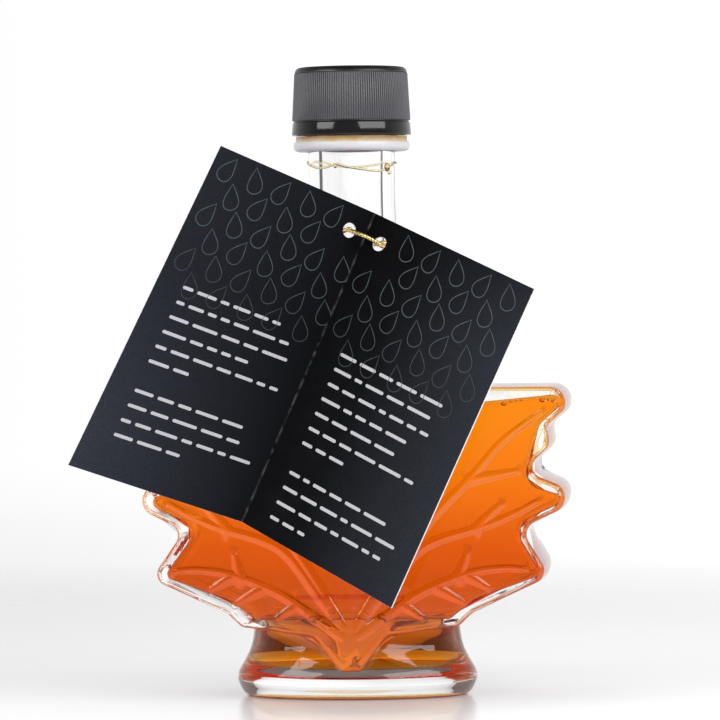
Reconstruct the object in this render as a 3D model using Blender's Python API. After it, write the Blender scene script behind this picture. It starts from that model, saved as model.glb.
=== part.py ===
"""A clear glass bottle of maple syrup: a maple leaf on a flared oval foot, with cap, ring and tag.

Metres, +Z up. The leaf faces -Y. The origin is the middle of the foot's flat underside.
"""

import math

import bmesh
import bpy
import numpy as np
from mathutils import Vector
from mathutils.geometry import delaunay_2d_cdt

MM = 0.001
GAP = 0.3

# Driving dimensions, in millimetres
LEAF_DEPTH = 43.0
LEAF_EDGE = 1.6
LEAF_DRAFT = 0.5
WALL_FRONT = 3.2
CAVITY_EDGE = 1.8
LEAN_START = 30.0
LEAN_SLOPE = 0.055
LEAN_MOST = 1.05

NECK_RADIUS = 11.25
BORE_RADIUS = 7.85
MOUTH_Z = 156.6
FILL_Z = 96.0

FOOT_HALF_WIDTH = 30.65
FOOT_FLATTER = 9.7

RING_Z = (138.5, 140.9, 142.2)
RING_RADII = (14.8, 14.2)
BAND_Z = (142.5, 145.7)
BAND_RADIUS = 15.25
CAP_Z = (146.0, 159.9)
CAP_RADII = (15.1, 14.45)
CAP_TOP_EDGE = 1.7
CAP_TOP_THICK = 2.0
RIB_COUNT = 76
RING_SIDES = 40
RIB_DEPTH = 0.45

VEIN_HEIGHT = 0.6
VEIN_HALF_WIDTH = 1.5
VEIN_STEP = 4.5
STEM_HALF_WIDTH = (3.2, 2.2)

# The card is one sheet, moved backwards by its thickness
CARD_THICK = 0.6
CARD_ACROSS = 4
CARD_DOWN = 6
HOLE_RADIUS = 1.9
CORD_RADIUS = 0.55

# The leaf's half outline, from the shoulder down to the stem: x, z and the corner's radius
LEAF_CORNERS = [
    (53.7, 78.5, 4.0), (53.5, 72.8, 2.6), (48.9, 68.8, 1.8), (49.6, 63.8, 2.5),
    (42.9, 57.6, 2.85), (58.8, 51.0, 3.9), (42.5, 43.0, 3.2), (50.3, 31.0, 3.2),
    (30.9, 22.1, 2.0), (27.3, 18.7, 2.0), (9.1, 16.2, 3.0), (2.6, 7.3, 1.8),
]
# The hollow's half outline: smoother than the leaf, as blown glass leaves it
CAVITY_CORNERS = [
    (30.0, 74.6, 9.0), (55.0, 76.7, 1.8), (47.0, 69.2, 3.5), (42.3, 54.3, 4.2), (54.5, 50.5, 1.6),
    (40.0, 43.6, 4.0), (48.2, 31.4, 1.3), (31.0, 25.6, 6.0), (26.3, 22.6, 1.8),
]
# The veins on the right half, each from its tip towards the stem: x, z
VEINS = [
    [(47.6, 72.3), (38.2, 65.3), (33.0, 59.6), (29.2, 55.3), (20.5, 46.3), (10.5, 33.0), (1.4, 18.0)],
    [(41.0, 57.4), (36.0, 56.5), (29.2, 55.3)],
    [(46.3, 49.8), (41.9, 47.4), (36.0, 44.7), (31.5, 43.2), (17.9, 38.3), (8.0, 26.8), (1.4, 18.0)],
    [(37.4, 49.3), (34.5, 46.5), (31.5, 43.2)],
    [(43.8, 33.0), (37.8, 33.2), (29.4, 31.8), (17.8, 27.1), (9.0, 21.2), (1.4, 16.0)],
    [(29.4, 37.4), (28.6, 34.6), (27.4, 31.0)],
    [(34.5, 28.5), (30.0, 31.2)],
    [(28.1, 25.0), (22.7, 28.0)],
    [(18.2, 21.0), (13.7, 24.0)],
]
CENTRE_VEIN = [(0.0, 74.0), (0.0, 15.0)]
STEM = [(0.0, 16.0), (0.0, 8.6)]

# The neck's outside where it grows out of the shoulder: z, half width, half depth
NECK_RINGS = [
    (66.0, 23.0, 17.0), (77.0, 22.0, 17.5), (80.5, 19.6, 17.0), (84.0, 17.4, 16.0), (90.0, 15.0, 14.4),
    (98.0, 13.0, 12.8), (108.0, 11.8, 11.8), (118.0, NECK_RADIUS, NECK_RADIUS),
]
BORE_RINGS = [
    (70.0, 16.0, 12.5), (76.0, 15.0, 12.3), (82.0, 12.4, 11.4), (90.0, 10.2, 10.0), (100.0, 8.8, 8.8),
    (112.0, BORE_RADIUS, BORE_RADIUS),
]
# The space in the foot, which widens into the leaf's: z, half width, half depth and squareness
FOOT_SPACE_RINGS = [
    (6.9, 21.0, 11.0, 2.2), (7.8, 26.0, 15.2, 2.2), (10.0, 26.2, 15.7, 2.2), (14.0, 24.5, 14.5, 2.4),
    (18.0, 24.2, 15.2, 2.7), (23.0, 24.5, 17.2, 3.2), (28.0, 24.6, 17.6, 3.4),
]
# The foot's outside: z and half width
FOOT_RINGS = [
    (0.0, 27.6), (0.5, 28.6), (1.9, 29.7), (3.4, 30.4), (5.0, FOOT_HALF_WIDTH), (6.4, 30.3), (8.0, 29.4),
    (10.0, 28.3), (12.4, 27.2), (15.0, 26.6), (19.0, 26.2), (24.0, 26.0),
]

# The open folded card: its corners, top first, as it leans on the neck and the shoulder
CARD_LEFT = [(-28.8, -42.0, 139.2), (-66.3, -52.0, 61.1)]
CARD_FOLD = [(6.9, -13.6, 122.5), (-26.0, -30.0, 45.7)]
CARD_RIGHT = [(48.0, -39.0, 103.0), (13.2, -57.0, 25.9)]
HOLE_DOWN = 6.6
HOLE_ASIDE = 4.9


def clear_scene():
    """Start from an empty scene."""
    for item in list(bpy.data.objects):
        bpy.data.objects.remove(item, do_unlink=True)


def material(name, colour, roughness, metallic=0.0, transmission=0.0, ior=1.5):
    """A plain Principled surface."""
    result = bpy.data.materials.new(name)
    result.use_nodes = True
    result.diffuse_color = (*colour, 1.0)
    shader = result.node_tree.nodes["Principled BSDF"]
    shader.inputs["Base Color"].default_value = (*colour, 1.0)
    shader.inputs["Roughness"].default_value = roughness
    shader.inputs["Metallic"].default_value = metallic
    shader.inputs["Transmission Weight"].default_value = transmission
    shader.inputs["IOR"].default_value = ior
    return result


def solid(name, points, faces, look=None):
    """One closed mesh object from points in millimetres."""
    mesh = bpy.data.meshes.new(name)
    mesh.from_pydata([Vector(p) * MM for p in points], [], faces)
    shape = bmesh.new()
    shape.from_mesh(mesh)
    bmesh.ops.recalc_face_normals(shape, faces=shape.faces)
    shape.to_mesh(mesh)
    shape.free()
    mesh.shade_smooth()
    mesh.set_sharp_from_angle(angle=math.radians(35))
    result = bpy.data.objects.new(name, mesh)
    bpy.context.scene.collection.objects.link(result)
    if look:
        mesh.materials.append(look)
    return result


def apply_boolean(target, operation, tools):
    """Join the tools to the target, or cut them from it, and remove them."""
    group = bpy.data.collections.new(target.name + "_tools")
    for tool in tools:
        group.objects.link(tool)
    step = target.modifiers.new(operation.lower(), "BOOLEAN")
    step.operation = operation
    step.operand_type = "COLLECTION"
    step.collection = group
    step.use_self = operation == "UNION"
    graph = bpy.context.evaluated_depsgraph_get()
    made = bpy.data.meshes.new_from_object(target.evaluated_get(graph))
    target.modifiers.clear()
    target.data = made
    for tool in tools:
        bpy.data.objects.remove(tool, do_unlink=True)
    bpy.data.collections.remove(group)
    return target


def rounded(corners, turn=math.radians(24)):
    """A closed outline whose corners are arcs: corners are (x, z, radius)."""
    outline = []
    count = len(corners)
    for index, (x, z, radius) in enumerate(corners):
        here = Vector((x, z))
        back = (Vector(corners[index - 1][:2]) - here).normalized()
        ahead = (Vector(corners[(index + 1) % count][:2]) - here).normalized()
        half = back.angle(ahead) / 2
        centre = here + (back + ahead).normalized() * (radius / math.sin(half))
        first = here + back * (radius / math.tan(half)) - centre
        swing = first.angle_signed(here + ahead * (radius / math.tan(half)) - centre)
        steps = max(2, round(abs(swing) / turn))
        for step in range(steps + 1):
            part = -swing * step / steps
            outline.append(centre + Vector((first.x * math.cos(part) - first.y * math.sin(part),
                                            first.x * math.sin(part) + first.y * math.cos(part))))
    return outline


def lean(point):
    """The moulded leaf sits a little to the right above its foot."""
    return Vector((point[0] + min(LEAN_MOST, max(0.0, LEAN_SLOPE * (point[1] - LEAN_START))), point[1]))


def whole(half, longest):
    """Mirror a half outline, round it, lean it and split its long straights."""
    mirrored = [(-x, z, radius) for x, z, radius in reversed(half)]
    outline = [lean(p) for p in rounded(half + mirrored)]
    dense = []
    for index, point in enumerate(outline):
        after = outline[(index + 1) % len(outline)]
        pieces = max(1, math.ceil((after - point).length / longest))
        dense += [point.lerp(after, step / pieces) for step in range(pieces)]
    return dense


def offset(outline, distance):
    """Move each point of a clockwise outline outwards along its normal."""
    moved = []
    for index, point in enumerate(outline):
        along = (outline[(index + 1) % len(outline)] - outline[index - 1]).normalized()
        moved.append(point + Vector((-along.y, along.x)) * distance)
    return moved


def distance_to(points, starts, ends):
    """Distance from each point to the nearest of the segments, and how far along that segment it is."""
    points = np.array(points)[:, None, :]
    starts = np.array(starts)[None, :, :]
    run = np.array(ends)[None, :, :] - starts
    part = np.clip(((points - starts) * run).sum(2) / (run * run).sum(2), 0.0, 1.0)
    away = np.linalg.norm(points - starts - run * part[:, :, None], axis=2)
    nearest = away.argmin(axis=1)
    rows = np.arange(len(away))
    return away[rows, nearest], part[rows, nearest]


def vein_lines():
    """Every vein of the leaf on both halves, leaning as the leaf does."""
    both = VEINS + [[(-x, z) for x, z in vein] for vein in VEINS] + [CENTRE_VEIN]
    return [[lean(p) for p in vein] for vein in both]


def relief(points):
    """Height of the raised veins and stem over the leaf's face."""
    height = np.zeros(len(points))
    for vein in vein_lines():
        away = distance_to(points, vein[:-1], vein[1:])[0]
        height = np.maximum(height, ridge(away / VEIN_HALF_WIDTH))
    away, part = distance_to(points, STEM[:1], STEM[1:])
    return np.maximum(height, ridge(away / np.interp(part, (0.0, 1.0), STEM_HALF_WIDTH)))


def ridge(part):
    """A rounded ridge's height, from its crest at 0 to its foot at 1."""
    return VEIN_HEIGHT * np.clip(1.0 - part ** 2, 0.0, 1.0)


def seeds(outline, depths, veined, spacing):
    """Inner points of a leaf face and the edges that join them: veins, rows along the rim, and a grid."""
    lines = []
    if veined:
        for vein in vein_lines():
            pieces = [max(1, round((b - a).length / VEIN_STEP)) for a, b in zip(vein, vein[1:])]
            crest = [a.lerp(b, k / n) for a, b, n in zip(vein, vein[1:], pieces) for k in range(n)] + vein[-1:]
            lines.append((crest, 0.6, 0.75, True))
            for side in (-VEIN_HALF_WIDTH, VEIN_HALF_WIDTH):
                lines.append((beside(crest, side * 1.03), 1.2, 1.0, True))
    for depth in depths:
        row = offset(outline, -depth)
        lines.append((row + row[:1], 0.98 * depth, 0.7, True))
    high = max(p.y for p in outline)
    wide = max(p.x for p in outline)
    for row, z in enumerate(np.arange(min(p.y for p in outline), high, spacing)):
        grid = [Vector((x, z)) for x in np.arange(-wide + spacing / 2 * (row % 2), wide, spacing)]
        lines.append((grid, depths[-1] + 0.6, spacing * 0.5, False))
    kept = []
    links = []
    for points, need, apart, joined in lines:
        room = distance_to(points, outline, outline[1:] + outline[:1])[0]
        before = None
        for point, free in zip(points, room):
            if free < need or not inside(point, outline):
                before = None
            elif all((point - other).length > apart for other in kept):
                kept.append(point)
                if joined and before is not None:
                    links.append((before, len(kept) - 1))
                before = len(kept) - 1
    return kept, links


def beside(line, distance):
    """A line of points shifted to one side of another."""
    moved = []
    for index, point in enumerate(line):
        along = (line[min(index + 1, len(line) - 1)] - line[max(index - 1, 0)]).normalized()
        moved.append(point + Vector((-along.y, along.x)) * distance)
    return moved


def inside(point, outline):
    """Whether a point lies within a closed outline."""
    crossings = False
    for start, end in zip(outline, outline[1:] + outline[:1]):
        if (start.y > point.y) != (end.y > point.y):
            if point.x < start.x + (point.y - start.y) / (end.y - start.y) * (end.x - start.x):
                crossings = not crossings
    return crossings


def leaf_block(name, outline, half_depth, edge, draft=0.0, veined=False, spacing=12.0):
    """A leaf-shaped body with round edges; veins, if any, stand on its front."""
    depths = [edge * (1 - math.cos(math.radians(a))) for a in ((33, 60, 90) if veined else (42, 90))]
    inner, links = seeds(outline, depths, veined, spacing)
    count = len(outline)
    ring = list(range(count))
    edges = [(count + a, count + b) for a, b in links]
    flat, _, faces, *_ = delaunay_2d_cdt(outline + inner, edges, [ring], 1, 1e-5)
    away = distance_to(flat, outline, outline[1:] + outline[:1])[0]
    sunk = edge - np.minimum(away, edge)
    height = half_depth - edge + np.sqrt(edge * edge - sunk * sunk)
    veins = relief(flat) * np.clip(away / edge, 0.0, 1.0) if veined else 0.0
    front = [(p.x, -h, p.y) for p, h in zip(flat, height + veins)]
    back = [(p.x, h, p.y) for p, h in zip(flat, height)]
    middle = [(p.x, 0.0, p.y) for p in offset(outline, draft)]
    size = len(flat)
    body = [tuple(face) for face in faces] + [tuple(size + v for v in reversed(face)) for face in faces]
    for this in ring:
        after = (this + 1) % count
        body.append((this, after, 2 * size + after, 2 * size + this))
        body.append((2 * size + this, 2 * size + after, size + after, size + this))
    return solid(name, front + back + middle, body)


def pull_in(body, distance):
    """Move a body's surface inwards by a distance."""
    shape = bmesh.new()
    shape.from_mesh(body.data)
    for corner in shape.verts:
        corner.co -= corner.normal * distance * MM
    shape.to_mesh(body.data)
    shape.free()


def stack(name, rings, sides):
    """A closed body of rings: z, half width, half depth and, beyond 2 for an oval, squareness."""
    points = []
    for z, wide, deep, *square in rings:
        power = square[0] if square else 2.0
        for step in range(sides):
            turn = 2 * math.pi * step / sides
            x, y = math.cos(turn), math.sin(turn)
            reach = (abs(x) ** power + abs(y) ** power) ** (-1 / power)
            points.append((wide * x * reach, deep * y * reach, z))
    faces = [tuple(range(sides)), tuple(range(len(points) - sides, len(points)))]
    for level in range(len(rings) - 1):
        for step in range(sides):
            after = (step + 1) % sides
            low, high = level * sides, (level + 1) * sides
            faces.append((low + step, low + after, high + after, high + step))
    return solid(name, points, faces)


def turned(name, profile, sides, look):
    """A ring turned from a closed profile of (radius, z)."""
    points = []
    faces = []
    rows = len(profile)
    for step in range(sides):
        turn = 2 * math.pi * step / sides
        points += [(r * math.cos(turn), r * math.sin(turn), z) for r, z in profile]
        for row in range(rows):
            here, after = step * rows, (step + 1) % sides * rows
            faces.append((here + row, here + (row + 1) % rows, after + (row + 1) % rows, after + row))
    return solid(name, points, faces, look)


def hollow(name, shrink, top, sides):
    """The space inside the glass, or with a shrink the syrup that fills it, up to a height."""
    body = leaf_block(name, whole(CAVITY_CORNERS, 7.0), LEAF_DEPTH / 2 - WALL_FRONT, CAVITY_EDGE)
    foot = stack("foot_space", FOOT_SPACE_RINGS, sides)
    for space in (body, foot):
        pull_in(space, shrink)
    bore = [(z, wide - shrink, deep - shrink) for z, wide, deep in BORE_RINGS if z < top]
    bore.append((top, *[np.interp(top, [r[0] for r in BORE_RINGS], [r[k] for r in BORE_RINGS]) - shrink
                        for k in (1, 2)]))
    neck = stack("neck_space", bore, sides)
    return apply_boolean(body, "UNION", [foot, neck])


def bottle():
    """The glass: leaf, neck and foot in one piece, hollow and open at the mouth."""
    glass = material("glass", (0.93, 0.95, 0.94), 0.03, transmission=1.0)
    body = leaf_block("bottle", whole(LEAF_CORNERS, 7.0), LEAF_DEPTH / 2, LEAF_EDGE, LEAF_DRAFT, True, 7.5)
    neck = stack("neck", NECK_RINGS + [(MOUTH_Z, NECK_RADIUS, NECK_RADIUS)], 36)
    foot = stack("foot", [(z, wide, wide - FOOT_FLATTER) for z, wide in FOOT_RINGS], 40)
    apply_boolean(body, "UNION", [neck, foot])
    apply_boolean(body, "DIFFERENCE", [hollow("space", 0.0, MOUTH_Z + 2.0, 28)])
    body.data.materials.clear()
    body.data.materials.append(glass)
    return body


def syrup():
    """The syrup, up to its level in the lower neck."""
    amber = material("syrup", (0.80, 0.30, 0.03), 0.05, transmission=1.0, ior=1.45)
    body = hollow("syrup", GAP, FILL_Z, 28)
    body.data.materials.clear()
    body.data.materials.append(amber)
    return body


def cap(black):
    """The screw cap: a ribbed skirt with a little draft, closed on top."""
    sides = RIB_COUNT * 2
    low, high = CAP_Z
    outer = [(low, CAP_RADII[0], 0.0), (low + 0.3, CAP_RADII[0], 1.0),
             (high - CAP_TOP_EDGE - 0.6, CAP_RADII[1], 1.0), (high - CAP_TOP_EDGE, CAP_RADII[1], 0.0),
             (high - CAP_TOP_EDGE * 0.3, CAP_RADII[1] - CAP_TOP_EDGE * 0.3, 0.0),
             (high, CAP_RADII[1] - CAP_TOP_EDGE, 0.0)]
    points = []
    for z, radius, ribbed in outer:
        for step in range(sides):
            turn = 2 * math.pi * step / sides
            depth = radius - RIB_DEPTH * (1.0 - (step % 2) * ribbed)
            points.append((depth * math.cos(turn), depth * math.sin(turn), z))
    faces = [tuple(range(sides)), tuple(range(len(points) - sides, len(points)))]
    for level in range(len(outer) - 1):
        for step in range(sides):
            after = (step + 1) % sides
            here, above = level * sides, (level + 1) * sides
            faces.append((here + step, here + after, above + after, above + step))
    body = solid("cap", points, faces)
    inner = NECK_RADIUS + GAP
    room = stack("cap_room", [(low - 1.0, inner, inner), (high - CAP_TOP_THICK, inner, inner)], 36)
    apply_boolean(body, "DIFFERENCE", [room])
    body.data.materials.clear()
    body.data.materials.append(black)
    return body


def band(black):
    """The smooth tamper band under the cap."""
    low, high = BAND_Z
    inner = NECK_RADIUS + GAP
    profile = [(inner, low), (BAND_RADIUS - 0.3, low), (BAND_RADIUS, low + 0.3),
               (BAND_RADIUS, high - 0.3), (BAND_RADIUS - 0.3, high), (inner, high)]
    return turned("cap_band", profile, RING_SIDES, black)


def pour_ring():
    """The white plastic ring of the pourer, with a narrower step under the band."""
    white = material("pour_ring", (0.86, 0.84, 0.80), 0.35)
    low, step, high = RING_Z
    wide, narrow = RING_RADII
    inner = NECK_RADIUS + GAP
    profile = [(inner, low), (wide - 0.4, low), (wide, low + 0.4), (wide, step - 0.2),
               (wide - 0.2, step), (narrow, step), (narrow, high), (inner, high)]
    return turned("pour_ring", profile, RING_SIDES, white)


def card_lines():
    """The card's left edge, fold and right edge as pairs of vectors."""
    return [[Vector(p) for p in line] for line in (CARD_LEFT, CARD_FOLD, CARD_RIGHT)]


def tag():
    """The folded card, open like a book around its fold, with two punched holes."""
    paper = material("tag", (0.02, 0.024, 0.032), 0.6)
    left, fold, right = card_lines()
    front = []
    for step in range(CARD_DOWN + 1):
        part = step / CARD_DOWN
        edge_left, middle, edge_right = (side[0].lerp(side[1], part) for side in (left, fold, right))
        front += [edge_left.lerp(middle, k / CARD_ACROSS) for k in range(CARD_ACROSS)]
        front += [middle.lerp(edge_right, k / CARD_ACROSS) for k in range(CARD_ACROSS + 1)]
    back = [point + Vector((0.0, CARD_THICK, 0.0)) for point in front]
    wide = 2 * CARD_ACROSS + 1
    size = len(front)
    faces = []
    for row in range(CARD_DOWN):
        for column in range(wide - 1):
            first = row * wide + column
            quad = (first, first + 1, first + wide + 1, first + wide)
            faces += [quad, tuple(size + v for v in reversed(quad))]
    border = list(range(wide)) + list(range(2 * wide - 1, size, wide))
    border += list(range(size - 2, size - wide - 1, -1)) + list(range(size - 2 * wide, 0, -wide))
    for this, after in zip(border, border[1:] + border[:1]):
        faces.append((this, size + this, size + after, after))
    body = solid("tag", front + back, faces)
    cutters = []
    for centre, normal in holes():
        drill = stack("hole", [(-4.0, HOLE_RADIUS, HOLE_RADIUS), (4.0, HOLE_RADIUS, HOLE_RADIUS)], 16)
        turn = normal.to_track_quat("Z", "Y").to_matrix().to_4x4()
        turn.translation = centre * MM
        drill.data.transform(turn)
        cutters.append(drill)
    apply_boolean(body, "DIFFERENCE", cutters)
    body.data.materials.clear()
    body.data.materials.append(paper)
    return body


def holes():
    """Middle of each punched hole, and its half's outward direction."""
    left, fold, right = card_lines()
    down = (fold[1] - fold[0]).normalized()
    result = []
    for side in (left, right):
        aside = (side[0] - fold[0]).normalized()
        normal = aside.cross(down).normalized()
        result.append((fold[0] + down * HOLE_DOWN + aside * HOLE_ASIDE, normal if normal.y < 0 else -normal))
    return result


def tag_cord():
    """The gold elastic: over the card's front between the holes, through them and round the neck."""
    gold = material("tag_cord", (0.75, 0.55, 0.22), 0.35, metallic=1.0)
    (left, left_out), (right, right_out) = holes()
    radius = NECK_RADIUS + CORD_RADIUS + 0.6
    height = (left.z + right.z) / 2 - 1.5
    route = [left + left_out * 0.2 + (right - left) * 0.06, (left + right) / 2 + (left_out + right_out) * 0.9,
             right + right_out * 0.2 - (right - left) * 0.06, right - right_out * 1.6]
    for angle in range(-50, 231, 20):
        turn = math.radians(angle)
        route.append(Vector((radius * math.cos(turn), radius * math.sin(turn), height)))
    route.append(left - left_out * 1.6)
    curve = bpy.data.curves.new("tag_cord", "CURVE")
    curve.dimensions = "3D"
    curve.bevel_depth = CORD_RADIUS * MM
    curve.bevel_resolution = 2
    curve.resolution_u = 1
    line = curve.splines.new("POLY")
    points = smooth_loop(route, 2)
    line.points.add(len(points) - 1)
    for spot, point in zip(line.points, points):
        spot.co = (*(point * MM), 1.0)
    line.use_cyclic_u = True
    curve.materials.append(gold)
    result = bpy.data.objects.new("tag_cord", curve)
    bpy.context.scene.collection.objects.link(result)
    return result


def smooth_loop(route, between):
    """Points along a smooth closed curve through the route's own points."""
    count = len(route)
    points = []
    for index in range(count):
        p0, p1, p2, p3 = (route[(index + k) % count] for k in (-1, 0, 1, 2))
        for step in range(between):
            t = step / between
            points.append(0.5 * (2 * p1 + (p2 - p0) * t + (2 * p0 - 5 * p1 + 4 * p2 - p3) * t * t
                                 + (3 * p1 - p0 - 3 * p2 + p3) * t ** 3))
    return points


clear_scene()
black_plastic = material("cap", (0.012, 0.012, 0.013), 0.35)
bottle()
syrup()
cap(black_plastic)
band(black_plastic)
pour_ring()
tag()
tag_cord()
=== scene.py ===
"""Looks of the maple syrup bottle: leaf-shaped glass, amber syrup, black cap, card tag on a gold elastic.

Sizes are millimetres unless a name says otherwise. +Z is up and the leaf faces -Y.
"""

from contextlib import contextmanager
import math
import random

import bmesh
import bpy
import numpy as np
from mathutils import Matrix, Vector
from mathutils.geometry import delaunay_2d_cdt


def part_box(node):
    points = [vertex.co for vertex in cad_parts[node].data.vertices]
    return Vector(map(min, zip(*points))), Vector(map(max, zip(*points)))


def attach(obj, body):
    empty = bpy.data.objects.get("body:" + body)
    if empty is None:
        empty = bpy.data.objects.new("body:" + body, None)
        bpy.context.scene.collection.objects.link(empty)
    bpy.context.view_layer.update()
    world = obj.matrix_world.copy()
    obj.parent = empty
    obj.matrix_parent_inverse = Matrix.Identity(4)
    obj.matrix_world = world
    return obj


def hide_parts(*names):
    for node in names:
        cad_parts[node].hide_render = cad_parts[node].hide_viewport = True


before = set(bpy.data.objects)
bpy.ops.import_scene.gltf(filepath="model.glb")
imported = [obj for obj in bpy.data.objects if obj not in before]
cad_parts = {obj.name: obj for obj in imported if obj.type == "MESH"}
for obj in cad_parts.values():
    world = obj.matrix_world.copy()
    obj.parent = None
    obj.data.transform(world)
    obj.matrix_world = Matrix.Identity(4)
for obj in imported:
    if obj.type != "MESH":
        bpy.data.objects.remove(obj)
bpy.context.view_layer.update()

MM = 0.001
UP = Vector((0.0, 0.0, 1.0))

# The camera: its distance, the angle it stands to the right, its height, its lens and its turns in degrees
EYE_AWAY = 1200.0
EYE_ASIDE = 4.85
EYE_UP = 105.2
LENS = 235.08
LOOK_DOWN = 0.95
LOOK_ASIDE = 0.073
ROLL = 0.65

# The studio: its dark upright gaps' start and end in degrees from front or back, their brightness, and how
# bright the front looks when it is mirrored
GAP = (54.0, 67.0)
GAP_LIGHT = 0.1
FRONT_LIGHT = 0.14

# The windows: degrees to the right and size in metres, then degrees up, distance, the height they face, glow
WINDOWS = [("window_right", 47.0, (0.43, 0.25)), ("window_left", -48.0, (0.27, 0.25))]
WINDOW_UP = 26.0
WINDOW_AWAY = 460.0
WINDOW_AIM = 90.0
WINDOW_GLOW = 4.6

# Leaf glass; corners are across, height and radius, and veins run from tip to stem
LEAF_DEPTH = 43.0
LEAF_EDGE = 1.25
LEAF_DRAFT = 0.5
WALL_FRONT = 3.2
CAVITY_EDGE = 1.6
LEAN_START = 30.0
LEAN_SLOPE = 0.055
LEAN_MOST = 1.05
VEIN_HEIGHT = 0.4
VEIN_HALF_WIDTH = (0.9, 1.75)
STEM_HALF_WIDTH = (3.2, 2.2)
LEAF_STEP = 0.7
FACE_STEP = 1.0
SPACE_STEP = 1.0
CORNER_TURN = math.radians(4)
LEAF_CORNERS = [
    (53.7, 78.5, 4.0), (53.5, 72.8, 2.6), (48.9, 68.8, 1.8), (49.6, 63.8, 2.5),
    (42.9, 57.6, 2.85), (58.8, 51.0, 3.9), (42.5, 43.0, 3.2), (50.3, 31.0, 3.2),
    (30.9, 22.1, 2.0), (27.3, 18.7, 2.0), (9.1, 16.2, 3.0), (2.6, 7.3, 1.8),
]
CAVITY_CORNERS = [
    (30.0, 74.6, 9.0), (55.4, 76.8, 1.8), (46.5, 69.2, 3.5), (41.8, 54.3, 4.6), (54.0, 50.5, 1.6),
    (39.5, 43.6, 4.4), (47.7, 31.4, 1.5), (30.5, 25.2, 6.0), (24.5, 20.4, 1.8),
]
CAVITY_ASIDE = 0.5
VEINS = [
    [(47.6, 72.3), (38.2, 65.3), (33.0, 59.6), (29.2, 55.3), (20.5, 46.3), (10.5, 33.0), (1.4, 18.0)],
    [(41.0, 57.4), (36.0, 56.5), (29.2, 55.3)],
    [(46.3, 49.8), (41.9, 47.4), (36.0, 44.7), (31.5, 43.2), (17.9, 38.3), (8.0, 26.8), (1.4, 18.0)],
    [(37.4, 49.3), (34.5, 46.5), (31.5, 43.2)],
    [(43.8, 33.0), (37.8, 33.2), (29.4, 31.8), (17.8, 27.1), (9.0, 21.2), (1.4, 16.0)],
    [(29.4, 37.4), (28.6, 34.6), (27.4, 31.0)],
    [(34.5, 28.5), (30.0, 31.2)],
    [(28.1, 25.0), (22.7, 28.0)],
    [(18.2, 21.0), (13.7, 24.0)],
]
CENTRE_VEIN = [(0.0, 74.0), (0.0, 15.0)]
STEM = [(0.0, 16.0), (0.0, 8.6)]

# Neck, bore and foot: height, half width and half depth, with squareness in the foot's space, 2 for an oval
NECK_RADIUS = 11.25
BORE_RADIUS = 7.85
MOUTH_Z = 156.6
FILL_Z = 96.0
FOOT_FLATTER = 9.7
NECK_RINGS = [
    (66.0, 23.0, 17.0), (77.0, 22.0, 17.5), (80.5, 19.6, 17.0), (84.0, 17.4, 16.0), (90.0, 15.0, 14.4),
    (98.0, 13.0, 12.8), (108.0, 11.8, 11.8), (118.0, NECK_RADIUS, NECK_RADIUS),
    (MOUTH_Z, NECK_RADIUS, NECK_RADIUS),
]
BORE_RINGS = [
    (70.0, 16.0, 12.5), (76.0, 15.0, 12.3), (82.0, 12.4, 11.4), (90.0, 10.2, 10.0), (100.0, 8.8, 8.8),
    (112.0, BORE_RADIUS, BORE_RADIUS), (MOUTH_Z + 2.0, BORE_RADIUS, BORE_RADIUS),
]
FOOT_RINGS = [
    (0.0, 27.6), (0.5, 28.6), (1.9, 29.7), (3.4, 30.4), (5.0, 30.65), (6.4, 30.3), (8.0, 29.4),
    (10.0, 28.3), (12.4, 27.2), (15.0, 26.6), (19.0, 26.2), (24.0, 26.0),
]
FOOT_SPACE_RINGS = [
    (5.6, 18.2, 9.6, 2.0), (5.85, 21.7, 12.2, 2.0), (6.5, 23.5, 13.7, 2.0), (7.6, 24.1, 14.4, 2.0),
    (9.6, 23.6, 14.1, 2.0), (12.4, 22.6, 13.5, 2.0), (15.0, 22.2, 13.3, 2.0), (18.0, 22.4, 14.0, 2.1),
    (21.0, 23.3, 16.0, 2.8), (23.0, 24.2, 17.7, 5.0), (25.0, 24.8, 18.25, 8.0), (28.0, 24.8, 18.25, 8.0),
]
WALL_REACH = 0.08

# The bottle's materials, in the order of its slots
CLEAR, WET, SIDE, BASE = range(4)

# Air bubbles under the shoulder: across, height and half width, and how far forward they lie
BUBBLES = [
    (39.2, 74.3, 0.9), (40.9, 74.9, 0.5), (42.2, 75.1, 0.4), (43.4, 75.2, 0.35), (48.9, 75.1, 0.95),
    (50.3, 75.2, 0.5), (51.6, 75.0, 0.8), (-44.0, 75.0, 0.8), (-46.5, 75.2, 0.5),
]
BUBBLES_FORWARD = 16.4

# Closure; the cap's radii are over its ribs, at its foot and under its top edge
RIB_COUNT = 76
RIB_DEPTH = 0.45
RIB_EDGE = 0.1
CAP_TOP_EDGE = 1.4
CAP_RADII = (15.1, 14.45)
CAP_HEM = 0.3
CAP_TOP_INSET = 0.12
CAP_ROOM = 11.6
CAP_TOP_THICK = 2.0
NECK_CLEARANCE = 0.3

# Syrup on the neck: degrees from the front and height, and its drops with their half width
FILM = [
    (-170.0, 134.6), (-120.0, 135.6), (-90.0, 136.1), (-62.0, 134.9), (-43.0, 134.1), (-26.0, 134.4),
    (-16.0, 135.5), (-7.0, 134.5), (7.0, 134.1), (26.0, 133.5), (43.0, 133.2), (58.0, 134.0),
    (75.0, 135.6), (120.0, 135.2),
]
FILM_DROPS = [(57.0, 134.2, 0.85), (62.0, 133.0, 0.5), (-17.0, 134.6, 0.45)]
FILM_RADIUS = 0.3

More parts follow.
